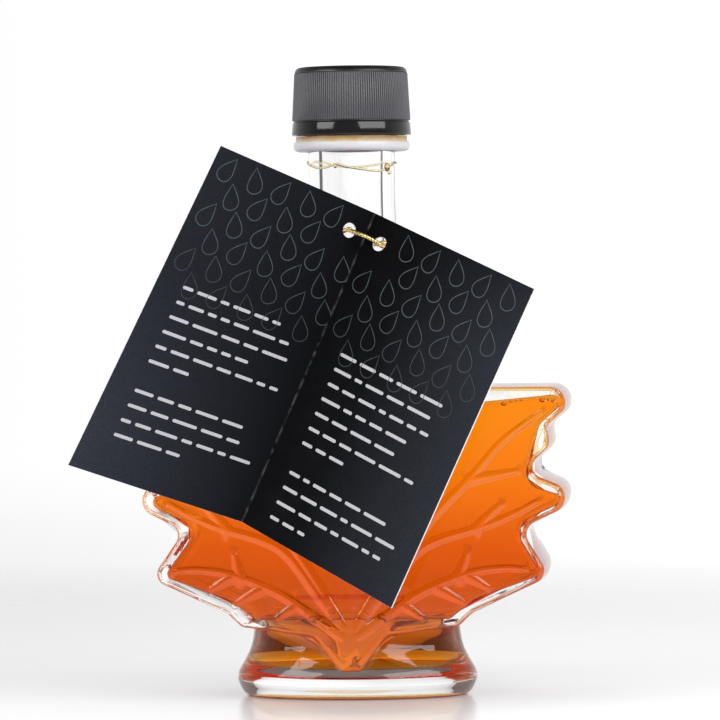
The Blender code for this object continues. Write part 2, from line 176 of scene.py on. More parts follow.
# The open card: corners of its left edge, fold and right edge, top first
CARD_LEFT = [(-28.8, -42.0, 139.2), (-66.3, -52.0, 61.1)]
CARD_FOLD = [(6.9, -13.6, 122.5), (-26.0, -30.0, 45.7)]
CARD_RIGHT = [(48.0, -39.0, 103.0), (13.2, -57.0, 25.9)]
CARD_THICK = 0.45
HOLE_RADIUS = 1.9
HOLE_DOWN = 6.6
HOLE_ASIDE = 4.9
CORD_RADIUS = 0.55
CORD_TWIST = 1.5
CORD_STEP = 0.14
CORD_OFF_NECK = 0.6
CORD_UNDER_HOLES = 1.5
CORD_BEHIND_CARD = 1.6

# The card's print, on halves about this wide. The drops: first one, spacing, every other row's shift, last
# place across, room round a hole, size, line and tilt. The dashes: first, line spacing, height and space
HALF_WIDE = 49.6
DROPS_START = (4.8, 4.6)
DROPS_APART = (8.3, 6.1)
DROPS_SHIFT = 4.1
DROPS_LAST = 46.5
DROPS_CLEAR = 6.0
DROP_SIZE = 6.2
DROP_LINE = 0.26
DROP_TILT = 0.35
DASHES_START = (7.4, 36.0)
DASHES_APART = 4.03
DASH_TALL = 0.85
DASH_SPACE = 1.2
PRINT_LIFT = 0.03


# Small helpers

def only(piece):
    """Select one object alone and make it active."""
    bpy.ops.object.select_all(action="DESELECT")
    piece.select_set(True)
    bpy.context.view_layer.objects.active = piece
    return piece


def linked(piece):
    """Put a new object in the scene."""
    bpy.context.scene.collection.objects.link(piece)
    return piece


def named(name):
    """The object an operator has just added, with its name, its place moved into its mesh."""
    piece = bpy.context.object
    piece.name = name
    piece.data.name = name
    bpy.ops.object.transform_apply(location=True, rotation=True, scale=True)
    return piece


@contextmanager
def editing(piece, everything=True):
    """Edit mode on one piece, with all of it selected or what is selected already."""
    only(piece)
    bpy.ops.object.mode_set(mode="EDIT")
    if everything:
        bpy.ops.mesh.select_all(action="SELECT")
    yield
    bpy.ops.object.mode_set(mode="OBJECT")


def modify(piece, kind, **settings):
    """Add a modifier to a piece and apply it."""
    only(piece)
    step = piece.modifiers.new(kind.lower(), kind)
    for key, value in settings.items():
        setattr(step, key, value)
    bpy.ops.object.modifier_apply(modifier=step.name)
    return piece


def combine(piece, operation, *tools):
    """Join tools to a piece, or cut them from it, and remove them."""
    for tool in tools:
        modify(piece, "BOOLEAN", operation=operation, object=tool, solver="EXACT")
        bpy.data.objects.remove(tool, do_unlink=True)
    return piece


def join(body, piece):
    """Make a piece part of a body."""
    only(piece)
    body.select_set(True)
    bpy.context.view_layer.objects.active = body
    bpy.ops.object.join()


def smooth(piece, angle=40.0, weighted=False):
    """Smooth shading, but for edges sharper than an angle, with flat faces kept flat if it is weighted."""
    only(piece)
    bpy.ops.object.shade_smooth_by_angle(angle=math.radians(angle))
    return modify(piece, "WEIGHTED_NORMAL", keep_sharp=True) if weighted else piece


def finish(piece, look, slot, *nodes):
    """Give a piece its material and its place in the model."""
    if look:
        piece.data.materials.clear()
        piece.data.materials.append(look)
    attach(piece, "root")
    if nodes:
        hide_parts(*nodes)
    return piece


def from_points(name, points, faces):
    """A mesh object from points in millimetres, its faces turned outwards."""
    mesh = bpy.data.meshes.new(name)
    mesh.from_pydata([Vector(p) * MM for p in points], [], faces)
    shape = bmesh.new()
    shape.from_mesh(mesh)
    bmesh.ops.recalc_face_normals(shape, faces=shape.faces)
    shape.to_mesh(mesh)
    shape.free()
    return linked(bpy.data.objects.new(name, mesh))


def flowing(rings, step):
    """Rings a short step apart on a smooth curve through the given ones."""
    rows = np.array(rings)
    z = rows[:, 0]
    slope = np.gradient(rows, z, axis=0)
    made = []
    for low, high, here, after, first, last in zip(z, z[1:], rows, rows[1:], slope, slope[1:]):
        run = high - low
        for t in np.linspace(0.0, 1.0, max(2, math.ceil(run / step) + 1))[:-1]:
            made.append((2 * t**3 - 3 * t**2 + 1) * here + (t**3 - 2 * t**2 + t) * run * first
                        + (3 * t**2 - 2 * t**3) * after + (t**3 - t**2) * run * last)
    return [tuple(ring) for ring in made] + [tuple(rows[-1])]


def next_ring(rise, wider, deeper):
    """Extrude the selected ring upwards and scale it."""
    bpy.ops.mesh.extrude_region_move(TRANSFORM_OT_translate={"value": (0.0, 0.0, rise * MM)})
    bpy.ops.transform.resize(value=(wider, deeper, 1.0))


def loft(name, rings, sides):
    """A closed body of oval rings, extruded ring by ring: height, half width, half depth."""
    z, wide, deep = rings[0]
    bpy.ops.mesh.primitive_circle_add(vertices=sides, radius=MM, fill_type="NGON",
                                      location=(0.0, 0.0, z * MM))
    with editing(bpy.context.object):
        bpy.ops.transform.resize(value=(wide, deep, 1.0))
        for (z0, wide0, deep0), (z1, wide1, deep1) in zip(rings, rings[1:]):
            next_ring(z1 - z0, wide1 / wide0, deep1 / deep0)
        bpy.ops.mesh.select_all(action="SELECT")
        bpy.ops.mesh.normals_make_consistent(inside=False)
    return named(name)


def quads(rows, rings, sides):
    """Faces on rows between neighbouring rings of points."""
    return [(i * sides + k, i * sides + (k + 1) % sides, (i + 1) % rings * sides + (k + 1) % sides,
             (i + 1) % rings * sides + k) for i in range(rows) for k in range(sides)]


def stack(name, rings, sides):
    """A closed body of rings between oval and oblong: height, half width, half depth and squareness."""
    points = []
    for z, wide, deep, square in rings:
        for k in range(sides):
            turn = math.tau * k / sides
            x, y = math.cos(turn), math.sin(turn)
            reach = (abs(x) ** square + abs(y) ** square) ** (-1 / square)
            points.append((wide * x * reach, deep * y * reach, z))
    ends = [list(range(sides)), [len(points) - 1 - k for k in range(sides)]]
    return from_points(name, points, ends + quads(len(rings) - 1, len(rings), sides))


def lathe(name, profile, sides):
    """A round body from a closed profile of radius and height, extruded loop by loop."""
    radius, z = profile[0]
    bpy.ops.mesh.primitive_circle_add(vertices=sides, radius=radius * MM, fill_type="NOTHING",
                                      location=(0.0, 0.0, z * MM))
    with editing(bpy.context.object):
        for (radius0, z0), (radius1, z1) in zip(profile, profile[1:] + profile[:1]):
            next_ring(z1 - z0, radius1 / radius0, radius1 / radius0)
        bpy.ops.mesh.select_all(action="SELECT")
        bpy.ops.mesh.remove_doubles(threshold=1e-6)
        bpy.ops.mesh.normals_make_consistent(inside=False)
    return named(name)


def ball(name, middle, halves, sides, rows):
    """A squashed ball from its middle and its half sizes in millimetres."""
    bpy.ops.mesh.primitive_uv_sphere_add(segments=sides, ring_count=rows, radius=MM,
                                         location=[value * MM for value in middle], scale=halves)
    return smooth(named(name))


def tube(name, line, radius, sides):
    """A closed tube along a closed line; its radius follows the place on the line and round it."""
    count = len(line)
    points = []
    for index, point in enumerate(line):
        along = (line[(index + 1) % count] - line[index - 1]).normalized()
        reference = UP if abs(along.z) < 0.9 else Vector((1.0, 0.0, 0.0))
        out = along.cross(reference).normalized()
        up = along.cross(out)
        for k in range(sides):
            turn = math.tau * k / sides
            points.append(point + (out * math.cos(turn) + up * math.sin(turn)) * radius(index, turn))
    return from_points(name, points, quads(count, count, sides))


def smooth_line(points, step, closed=False):
    """Points a step apart on a smooth curve through the given ones."""
    count = len(points)
    made = []
    for index in range(count if closed else count - 1):
        near = [index + k for k in (-1, 0, 1, 2)]
        p0, p1, p2, p3 = (points[k % count if closed else min(max(k, 0), count - 1)] for k in near)
        pieces = max(1, round((p2 - p1).length / step))
        for k in range(pieces):
            t = k / pieces
            made.append(0.5 * (2 * p1 + (p2 - p0) * t + (2 * p0 - 5 * p1 + 4 * p2 - p3) * t * t
                               + (3 * p1 - p0 - 3 * p2 + p3) * t ** 3))
    return made if closed else made + [points[-1]]


# Materials

class Nodes:
    """Adds shader nodes to a tree."""

    def __init__(self, tree):
        self.tree = tree

    def feed(self, socket, value):
        """Link another node's output to a socket, or put a value on it."""
        if isinstance(value, bpy.types.NodeSocket):
            self.tree.links.new(value, socket)
        else:
            socket.default_value = value

    def node(self, kind, output=0, inputs=None, **settings):
        """Add a node, fill its sockets and return one of its outputs."""
        made = self.tree.nodes.new(kind)
        for key, value in settings.items():
            setattr(made, key, value)
        for key, value in (inputs or {}).items():
            self.feed(made.inputs[key], value)
        return made.outputs[output]

    def sum(self, operation, *values):
        """Arithmetic on one to three numbers."""
        return self.node("ShaderNodeMath", 0, dict(enumerate(values)), operation=operation)

    def ramp(self, value, stops, blend="LINEAR"):
        """A colour or grey for each place on a scale from 0 to 1."""
        output = self.node("ShaderNodeValToRGB", 0, {0: value})
        scale = output.node.color_ramp
        scale.interpolation = blend
        for index, (place, colour) in enumerate(stops):
            stop = scale.elements[index] if index < 2 else scale.elements.new(place)
            stop.position = place
            stop.color = (*colour, 1.0) if isinstance(colour, tuple) else (colour, colour, colour, 1.0)
        return output

    def range(self, value, start, end, low=0.0, high=1.0, **settings):
        """A number moved from one range to another, and kept inside it."""
        return self.node("ShaderNodeMapRange", 0, {0: value, 1: start, 2: end, 3: low, 4: high}, **settings)

    def choose(self, share, first, second):
        """A mix of two colours."""
        return self.node("ShaderNodeMix", 2, {0: share, 6: first, 7: second}, data_type="RGBA")

    def vector(self, operation, output, *values):
        """Arithmetic on one or two vectors."""
        return self.node("ShaderNodeVectorMath", output, dict(enumerate(values)), operation=operation)

    def dimmed(self, colour, share):
        """A colour times a number."""
        return self.node("ShaderNodeVectorMath", 0, {0: colour, "Scale": share}, operation="SCALE")


class Look(Nodes):
    """A material under construction: a Principled shader and what feeds it."""

    def __init__(self, name, **sockets):
        self.material = bpy.data.materials.new(name)
        self.material.use_nodes = True
        super().__init__(self.material.node_tree)
        self.shader = self.tree.nodes["Principled BSDF"]
        for key, value in sockets.items():
            self.set(key.replace("_", " "), value)

    def set(self, socket, value):
        """A number or colour, or another node's output, on one of the shader's sockets."""
        self.feed(self.shader.inputs[socket], (*value, 1.0) if isinstance(value, tuple) else value)

    def place(self):
        """Object coordinates."""
        return self.node("ShaderNodeTexCoord", "Object")

    def axis(self, name):
        """One of the object coordinates."""
        return self.node("ShaderNodeSeparateXYZ", name, {0: self.place()})

    def noise(self, scale, detail):
        """Noise of a number of swells to the metre, finer with more detail."""
        return self.node("ShaderNodeTexNoise", 0, {"Vector": self.place(), "Scale": scale, "Detail": detail})

    def bump(self, height, strength, distance):
        """Relief from a height, its distance in millimetres."""
        self.set("Normal", self.node("ShaderNodeBump", 0, {
            "Height": height, "Strength": strength, "Distance": distance * MM}))


def clear_look(name, **sockets):
    """A smooth material that light passes."""
    return Look(name, Roughness=0.0, Transmission_Weight=1.0, **sockets)


def glass_look(name, roughness=0.0, clearness=1.0):
    """Moulded glass with a slightly wavy surface."""
    look = Look(name, Base_Color=(1.0, 1.0, 1.0), Roughness=roughness, IOR=1.5,
                Transmission_Weight=clearness)
    look.bump(look.noise(90.0, 1.0), 0.08, 0.5)
    return look.material


def wet_glass_look():
    """The glass's inner wall where syrup wets it, which hardly mirrors."""
    return clear_look("wet_glass", Base_Color=(1.0, 1.0, 1.0), IOR=1.5,
                      Specular_Tint=(0.0, 0.0, 0.0)).material


def syrup_look():
    """Clear amber syrup: deeper the farther light travels in it, with painted light and shade by height."""
    look = clear_look("amber_syrup", IOR=1.45, Specular_Tint=(0.0, 0.0, 0.0))
    # Painted light and shade by height: deepest in the foot's waist, paler at the very bottom, paler and
    # yellower towards the top.
    look.set("Base Color", look.ramp(look.range(look.axis("Z"), 0.0, 0.1), [
        (0.06, (0.92, 0.62, 0.12)), (0.095, (0.80, 0.38, 0.06)), (0.14, (0.74, 0.29, 0.05)),
        (0.31, (0.80, 0.31, 0.09)), (0.39, (0.86, 0.36, 0.1)), (0.5, (0.95, 0.54, 0.15)),
        (0.7, (1.0, 0.78, 0.22))]))
    fill = look.node("ShaderNodeVolumeAbsorption", 0, {"Color": (0.9907, 0.793, 0.3, 1.0), "Density": 150.0})
    look.feed(look.tree.nodes["Material Output"].inputs["Volume"], fill)
    return look.material


def cap_look():
    """Satin black plastic with fine mould grain; painted shade between its ribs and over its round top edge.
    """
    look = Look("satin_black", IOR=1.5)
    low, top = (corner.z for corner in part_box("cap"))
    height = look.axis("Z")
    radius = look.vector("LENGTH", "Value", look.vector("MULTIPLY", 0, look.place(), (1.0, 1.0, 0.0)))
    crest = look.range(height, low, top, CAP_RADII[0] * MM, CAP_RADII[1] * MM)
    # Painted shade: the base colour is dimmed in the grooves between the ribs.
    between = look.range(look.sum("SUBTRACT", crest, radius), 0.1 * MM, 0.35 * MM, 1.0, 0.25)
    # Painted shade: the base colour turns nearly black over the round top edge.
    black = look.ramp(look.range(height, top - 2.0 * MM, top), [
        (0.0, (0.072, 0.070, 0.078)), (0.3, (0.056, 0.055, 0.061)), (0.45, (0.008, 0.008, 0.009))])
    look.set("Base Color", look.dimmed(black, between))
    grain = look.range(look.noise(900.0, 3.0), 0.3, 0.7, 0.3, 0.42)
    look.set("Roughness", look.sum("MAXIMUM", grain, look.range(height, top - 0.5 * MM, top, 0.3, 0.75)))
    look.bump(look.noise(2500.0, 2.0), 0.2, 0.05)
    return look.material


def band_look():
    """Glossy black plastic."""
    look = Look("gloss_black", Base_Color=(0.008, 0.008, 0.009), IOR=1.5)
    look.set("Roughness", look.ramp(look.noise(700.0, 3.0), [(0.35, 0.07), (0.7, 0.16)]))
    look.bump(look.noise(1500.0, 2.0), 0.25, 0.03)
    return look.material


def ring_look():
    """Milky translucent plastic, stained with syrup along its top."""
    look = Look("milky_plastic", Roughness=0.35, IOR=1.5, Transmission_Weight=0.25, Subsurface_Weight=0.3,
                Subsurface_Scale=2.0 * MM)
    wavy = look.sum("ADD", look.axis("Z"), look.sum("MULTIPLY", look.noise(260.0, 2.0), 1.4 * MM))
    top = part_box("pour_ring")[1].z
    look.set("Base Color", look.ramp(look.range(wavy, top - 1.6 * MM, top + 0.4 * MM), [
        (0.0, (0.68, 0.68, 0.71)), (0.45, (0.70, 0.66, 0.60)), (0.8, (0.52, 0.33, 0.13)),
        (1.0, (0.40, 0.22, 0.07))]))
    look.bump(look.noise(900.0, 2.0), 0.15, 0.05)
    return look.material


def card_look():
    """Near-black printed card with painted light, lighter away from its fold and lower down, rubbed pale
    along the crease.
    """
    look = Look("black_card", IOR=1.45, Specular_IOR_Level=0.06)
    aside, down = card_measures(look)
    # Painted light and shade: the card grows lighter away from the fold and lower down on each half.
    left = look.sum("MULTIPLY", look.range(aside, 0.0, -45.0 * MM, 0.3, 2.0),
                    look.range(down, 0.4, 0.95, 0.8, 1.5))
    right = look.sum("MULTIPLY", look.range(aside, 14.0 * MM, 50.0 * MM, 0.3, 3.4),
                     look.range(down, 0.05, 0.3, 0.42, 0.7))
    painted_light_and_grain = look.node("ShaderNodeMix", 0, {0: look.sum("GREATER_THAN", aside, 0.0), 2: left, 3: right})
    grain = look.noise(1800.0, 4.0)
    painted_light_and_grain = look.sum("MULTIPLY", painted_light_and_grain, look.range(grain, 0.3, 0.7, 0.85, 1.15))
    # The card's black ink times the painted light and shade and the grain.
    ink = look.dimmed((0.0085, 0.0095, 0.013), painted_light_and_grain)
    worn = look.sum("MULTIPLY", look.range(look.sum("ABSOLUTE", aside), 0.4 * MM, 0.1 * MM),
                    look.range(look.noise(420.0, 6.0), 0.42, 0.8))
    look.set("Base Color", look.choose(worn, ink, (0.085, 0.085, 0.09, 1.0)))
    look.set("Roughness", look.ramp(look.noise(260.0, 3.0), [(0.3, 0.5), (0.7, 0.6)]))
    look.bump(grain, 0.3, 0.04)
    return look.material


def card_measures(look):
    """How far a place lies to the right of the card's fold, and its share of the way down the card."""
    fold = [Vector(p) * MM for p in CARD_FOLD]
    run = fold[1] - fold[0]
    result = []
    for direction in (run.cross(Vector((0.0, 1.0, 0.0))).normalized(), run / run.length_squared):
        along = look.vector("DOT_PRODUCT", "Value", look.place(), direction)
        result.append(look.sum("SUBTRACT", along, fold[0].dot(direction)))
    return result


def print_look(name, colour, fades=False):
    """Pale ink; the pattern's ink fades down the card."""
    look = Look(name, Base_Color=colour, Roughness=0.6)
    if fades:
        down = card_measures(look)[1]
        look.set("Base Color", look.ramp(look.range(down, 0.0, 0.45), [
            (0.0, colour), (0.55, colour), (1.0, (0.012, 0.015, 0.018))]))
    return look.material


def film_look():
    """Thin syrup on the neck."""
    return clear_look("syrup_film", Base_Color=(0.97, 0.85, 0.52), IOR=1.45).material


def core_look():
    """The card's pale cut edge."""
    look = Look("card_core", Roughness=0.8)
    look.set("Base Color", look.ramp(look.noise(1200.0, 3.0), [
        (0.3, (0.62, 0.6, 0.62)), (0.7, (0.8, 0.78, 0.8))]))
    return look.material


def gold_look():
    """Metallic gold yarn."""
    look = Look("gold_yarn", Metallic=1.0, Roughness=0.28)
    look.set("Base Color", look.ramp(look.noise(2200.0, 2.0), [
        (0.3, (0.62, 0.44, 0.14)), (0.6, (0.92, 0.74, 0.34)), (0.85, (1.0, 0.9, 0.6))]))
    look.bump(look.noise(3000.0, 2.0), 0.5, 0.1)
    return look.material


# The leaf's outline and relief

def rounded(corners):
    """A closed outline whose corners are arcs: corners are across, height and radius."""
    outline = []
    count = len(corners)
    for index, (x, z, radius) in enumerate(corners):
        here = Vector((x, z))
        back = (Vector(corners[index - 1][:2]) - here).normalized()
        ahead = (Vector(corners[(index + 1) % count][:2]) - here).normalized()
        half = back.angle(ahead) / 2
        centre = here + (back + ahead).normalized() * (radius / math.sin(half))
        first = here + back * (radius / math.tan(half)) - centre
        swing = first.angle_signed(here + ahead * (radius / math.tan(half)) - centre)
        steps = max(3, round(abs(swing) / CORNER_TURN))
        for step in range(steps + 1):
            part = -swing * step / steps
            outline.append(centre + Vector((first.x * math.cos(part) - first.y * math.sin(part),
                                            first.x * math.sin(part) + first.y * math.cos(part))))
    return outline


def lean(point):
    """A point of the leaf moved to the right, as the moulded leaf sits over its foot."""
    return Vector((point[0] + min(LEAN_MOST, max(0.0, LEAN_SLOPE * (point[1] - LEAN_START))), point[1]))


def whole(half, longest):
    """Mirror a half outline, round it, lean it and split its long straights."""
    mirrored = [(-x, z, radius) for x, z, radius in reversed(half)]
    outline = [lean(p) for p in rounded(half + mirrored)]
    dense = []
    for index, point in enumerate(outline):
        after = outline[(index + 1) % len(outline)]
        pieces = max(1, math.ceil((after - point).length / longest))
        dense += [point.lerp(after, step / pieces) for step in range(pieces)]
    return dense


def offset(line, distance, closed=True):
    """Points of a line moved sideways, outwards on a clockwise outline."""
    last = len(line) - 1
    moved = []
    for index, point in enumerate(line):
        after = line[(index + 1) % len(line)] if closed else line[min(index + 1, last)]
        before = line[index - 1] if closed else line[max(index - 1, 0)]
        along = (after - before).normalized()
        moved.append(point + Vector((-along.y, along.x)) * distance)
    return moved


def distance_to(points, starts, ends):
    """Distance from each point to the nearest of the segments, and how far along that segment it is."""
    points = np.array(points)[:, None, :]
    starts = np.array(starts)[None, :, :]
    run = np.array(ends)[None, :, :] - starts
    part = np.clip(((points - starts) * run).sum(2) / (run * run).sum(2), 0.0, 1.0)
    away = np.linalg.norm(points - starts - run * part[:, :, None], axis=2)
    nearest = away.argmin(axis=1)
    rows = np.arange(len(away))
    return away[rows, nearest], part[rows, nearest] + nearest


def vein_lines():
    """Every vein on both halves, leaning as the leaf does, each on a smooth line."""
    both = VEINS + [[(-x, z) for x, z in vein] for vein in VEINS] + [CENTRE_VEIN]
    return [smooth_line([lean(p) for p in vein], LEAF_STEP) for vein in both]


def relief(points):
    """Height of the raised veins and stem over the leaf's face."""
    height = np.zeros(len(points))
    for vein in vein_lines():
        away, part = distance_to(points, vein[:-1], vein[1:])
        width = np.interp(part, (0.0, len(vein) - 1.0), VEIN_HALF_WIDTH)
        height = np.maximum(height, ridge(away / width))
    away, part = distance_to(points, [Vector(STEM[0])], [Vector(STEM[1])])
    return np.maximum(height, ridge(away / np.interp(part, (0.0, 1.0), STEM_HALF_WIDTH)))


def ridge(part):
    """A rounded ridge's height, from its crest at 0 to its foot at 1."""
    rise = np.clip((1.0 - part) / 0.6, 0.0, 1.0)
    flank = rise * rise * (3.0 - 2.0 * rise)
    crown = np.clip(1.0 - part ** 2, 0.0, 1.0) ** 2
    return VEIN_HEIGHT * (0.7 * flank + 0.3 * crown)


def room(points, outline):
    """Distance from each point to a closed outline."""
    return distance_to(points, outline, outline[1:] + outline[:1])[0]


def inside(points, outline):
    """Whether each point lies within a closed outline."""
    x, z = np.array(points).T
    crossings = np.zeros(len(x), bool)
    for start, end in zip(outline, outline[1:] + outline[:1]):
        if start.y != end.y:
            spans = (start.y > z) != (end.y > z)
            crossings ^= spans & (x < start.x + (z - start.y) / (end.y - start.y) * (end.x - start.x))
    return crossings


def seeds(outline, depths, veined, spacing):
    """Inner points of a leaf face and the edges that join them: veins, rows along the rim, and a grid."""
    lines = []
    if veined:
        for crest in vein_lines():
            lines.append((crest, 0.3, 0.3, True))
            for share in (0.4, 0.55, 0.7, 0.85, 1.0, 1.15):
                for aside in (-share, share):
                    shifts = zip(crest, offset(crest, aside, False))
                    flank = [point + (moved - point) * np.interp(k, (0, len(crest) - 1), VEIN_HALF_WIDTH)
                             for k, (point, moved) in enumerate(shifts)]
                    lines.append((flank, 0.3, 0.1, True))
    for depth in depths:
        row = offset(outline, -depth)
        lines.append((row + row[:1], 0.985 * depth, min(0.4, 0.5 * depth + 0.05), True))
    high = max(p.y for p in outline)
    wide = max(p.x for p in outline)
    for row, z in enumerate(np.arange(min(p.y for p in outline), high, spacing * 0.87)):
        grid = [Vector((x, z)) for x in np.arange(-wide + spacing / 2 * (row % 2), wide, spacing)]
        lines.append((grid, depths[-1] + 0.5 * spacing, spacing * 0.6, False))
    kept = np.zeros((sum(len(points) for points, *_ in lines), 2))
    size = 0
    links = []
    for points, need, apart, joined in lines:
        fits = (room(points, outline) >= need) & inside(points, outline)
        before = None
        for point, fit in zip(points, fits):
            if not fit:
                before = None
                continue
            if size and np.abs(kept[:size] - point).max(axis=1).min() < apart:
                continue
            kept[size] = point
            if joined and before is not None:
                links.append((before, size))
            before = size
            size += 1
    return [Vector(p) for p in kept[:size]], links


def leaf_block(name, outline, half_depth, edge, draft=0.0, veined=False, spacing=3.0):
    """A leaf-shaped body with round edges; its front face is plain like its back, or veined."""
    depths = [edge * (1 - math.cos(math.radians(a))) for a in np.arange(9, 91, 9)]
    inner, links = seeds(outline, depths, veined, spacing)
    count = len(outline)
    ring = list(range(count))
    edges = [(count + a, count + b) for a, b in links]
    flat, _, faces, *_ = delaunay_2d_cdt(outline + inner, edges, [ring], 1, 1e-5)
    away = room(flat, outline)
    sunk = edge - np.minimum(away, edge)
    height = half_depth - edge + np.sqrt(edge * edge - sunk * sunk)
    height = settled(height, faces, (away > 0.6) & (away < edge + 1.5), 2)
    raised = height + relief(flat) * np.clip(away / edge, 0.0, 1.0) if veined else height
    points = [(p.x, -h, p.y) for p, h in zip(flat, raised)]
    points += [(p.x, h, p.y) for p, h in zip(flat, height)]
    size = len(flat)
    body = [tuple(face) for face in faces] + [tuple(size + v for v in reversed(face)) for face in faces]
    wall = half_depth - edge
    rows = [list(ring)]
    for part in (0.8, 0.6, 0.4, 0.2, 0.0, -0.2, -0.4, -0.6, -0.8):
        rows.append(list(range(len(points), len(points) + count)))
        points += [(p.x, -wall * part, p.y) for p in offset(outline, draft * (1.0 - part * part))]
    rows.append([size + v for v in ring])
    face_count = len(body)
    for near, far in zip(rows, rows[1:]):
        for this in ring:
            after = (this + 1) % count
            body.append((near[this], near[after], far[after], far[this]))
    piece = from_points(name, points, body)
    if veined:
        for face in piece.data.polygons[face_count:]:
            face.material_index = SIDE
    return piece


def settled(values, faces, free, rounds):
    """Values at mesh corners evened out with their neighbours' where they are free to change."""
    pairs = np.array([(face[k - 1], face[k]) for face in faces for k in range(len(face))])
    pairs = np.vstack([pairs, pairs[:, ::-1]])
    count = np.bincount(pairs[:, 0], minlength=len(values))
    for _ in range(rounds):
        total = np.bincount(pairs[:, 0], weights=values[pairs[:, 1]], minlength=len(values))
        values = np.where(free, 0.5 * values + 0.5 * total / np.maximum(count, 1), values)
    return values


def grow(body, distance):
    """Move a body's surface outwards by a distance."""
    with editing(body):
        bpy.ops.transform.shrink_fatten(value=distance * MM)
    return body


# Glass and syrup

def oval(rings):
    """Foot rings as height, half width and half depth."""
    return [(z, wide, wide - FOOT_FLATTER) for z, wide in rings]


def hollow(name):
    """The space inside the glass, up through the bore."""
    outline = [p + Vector((CAVITY_ASIDE, 0.0)) for p in whole(CAVITY_CORNERS, SPACE_STEP)]
    body = leaf_block(name, outline, LEAF_DEPTH / 2 - WALL_FRONT, CAVITY_EDGE)
    foot = stack("foot_space", flowing(FOOT_SPACE_RINGS, 0.7), 128)
    bore = loft("bore_space", flowing(BORE_RINGS, 2.0), 96)
    return combine(body, "UNION", foot, bore)


def copy_of(piece, name):
    """A second object with its own mesh."""
    twin = piece.copy()
    twin.data = piece.data.copy()
    twin.name = name
    twin.data.name = name
    return linked(twin)


def bottle(looks, space):
    """The glass: leaf, neck and foot in one piece, hollow and open at the mouth."""
    outline = whole(LEAF_CORNERS, LEAF_STEP)
    body = leaf_block("leaf_bottle", outline, LEAF_DEPTH / 2, LEAF_EDGE, LEAF_DRAFT, True, FACE_STEP)
    neck = loft("neck", flowing(NECK_RINGS, 1.5), 128)
    foot = loft("foot", oval(flowing(FOOT_RINGS, 0.6)), 160)
    for piece in (body, space, neck, foot):
        for look in looks:
            piece.data.materials.append(look)
    for face in foot.data.polygons:
        face.material_index = BASE if face.center.z < 0.1 * MM else CLEAR
    combine(body, "UNION", neck, foot)
    for face in space.data.polygons:
        face.material_index = WET if face.center.z < FILL_Z * MM else CLEAR
    combine(body, "DIFFERENCE", space)
    smooth(body, 50.0, True)
    return finish(body, None, "glass", "bottle")


def syrup(look, space):
    """The syrup: the hollow's lower part, reaching just into the glass, with bubbles under the shoulder."""
    body = grow(copy_of(space, "syrup_fill"), WALL_REACH)
    with editing(body):
        bpy.ops.mesh.bisect(plane_co=(0.0, 0.0, FILL_Z * MM), plane_no=(0.0, 0.0, 1.0), use_fill=True,
                            clear_outer=True)
    smooth(body, 50.0, True)
    for x, z, wide in BUBBLES:
        bubble = ball("bubble", (x, -BUBBLES_FORWARD, z), (wide, 0.8 * wide, 0.62 * wide), 20, 12)
        bubble.data.flip_normals()
        join(body, bubble)
    return finish(body, look, "syrup", "syrup")


# Closure

def cap(look):
    """The screw cap: a ribbed skirt with a little draft and a round top edge."""
    low, high = (corner.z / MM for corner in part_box("cap"))
    sides = RIB_COUNT * 2
    radii = [r - RIB_DEPTH for r in CAP_RADII]
    top = high - CAP_TOP_EDGE
    foot, head = low + CAP_HEM, top - RIB_EDGE
    rings = [(low, radii[0], radii[0]), (foot, radii[0], radii[0]), (head, radii[1], radii[1])]
    for turn in np.radians((0.0, 22.5, 45.0, 67.5, 90.0)):
        radius = CAP_RADII[1] - CAP_TOP_EDGE * (1 - math.cos(turn)) - CAP_TOP_INSET
        rings.append((top + CAP_TOP_EDGE * math.sin(turn), radius, radius))
    body = loft("screw_cap", rings, sides)
    with editing(body, False):
        bpy.ops.mesh.select_all(action="DESELECT")
    for face in body.data.polygons:
        place = math.atan2(face.center.y, face.center.x) / math.tau * sides
        if foot < face.center.z / MM < head and abs(face.normal.z) < 0.5:
            face.select = round(place - 0.5) % 2 == 0
    with editing(body, False):
        bpy.ops.mesh.inset(thickness=0.06 * MM, use_individual=True)
        bpy.ops.mesh.extrude_region_shrink_fatten(
            TRANSFORM_OT_shrink_fatten={"value": (RIB_DEPTH - RIB_EDGE) * MM})
        bpy.ops.mesh.inset(thickness=0.12 * MM, use_individual=True)
        bpy.ops.transform.shrink_fatten(value=RIB_EDGE * MM)
    combine(body, "DIFFERENCE",
            loft("cap_room", [(z, CAP_ROOM, CAP_ROOM) for z in (low - 1.0, high - CAP_TOP_THICK)], 96))
    smooth(body, 50.0)
    return finish(body, look, "cap_ribbed", "cap")


def band(look):
    """The smooth tamper band."""
    low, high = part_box("cap_band")
    inner = NECK_RADIUS + NECK_CLEARANCE
    outer = high.x / MM
    bottom, top = low.z / MM, high.z / MM + 0.25
    body = lathe("tamper_band", [(inner, bottom), (outer - 0.5, bottom), (outer - 0.1, bottom + 0.12),
                                 (outer, bottom + 0.5), (outer - 0.22, top - 0.4), (outer - 0.32, top - 0.1),
                                 (outer - 0.55, top), (inner, top)], 192)
    smooth(body, 50.0)
    return finish(body, look, "cap_band", "cap_band")


def pour_ring(look):
    """The milky ring under the band, with its narrower step."""
    low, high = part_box("pour_ring")
    inner = NECK_RADIUS + NECK_CLEARANCE
    wide = high.x / MM
    bottom, top = low.z / MM, high.z / MM
    body = lathe("milky_ring", [(inner, bottom), (wide - 1.2, bottom), (wide - 0.5, bottom + 0.2),
                                (wide - 0.1, bottom + 0.7), (wide, bottom + 1.3), (wide, bottom + 2.0),
                                (wide - 0.2, bottom + 2.4), (wide - 0.6, bottom + 2.5), (wide - 0.6, top),
                                (inner, top)], 192)
    smooth(body, 50.0)
    return finish(body, look, "pour_ring", "pour_ring")


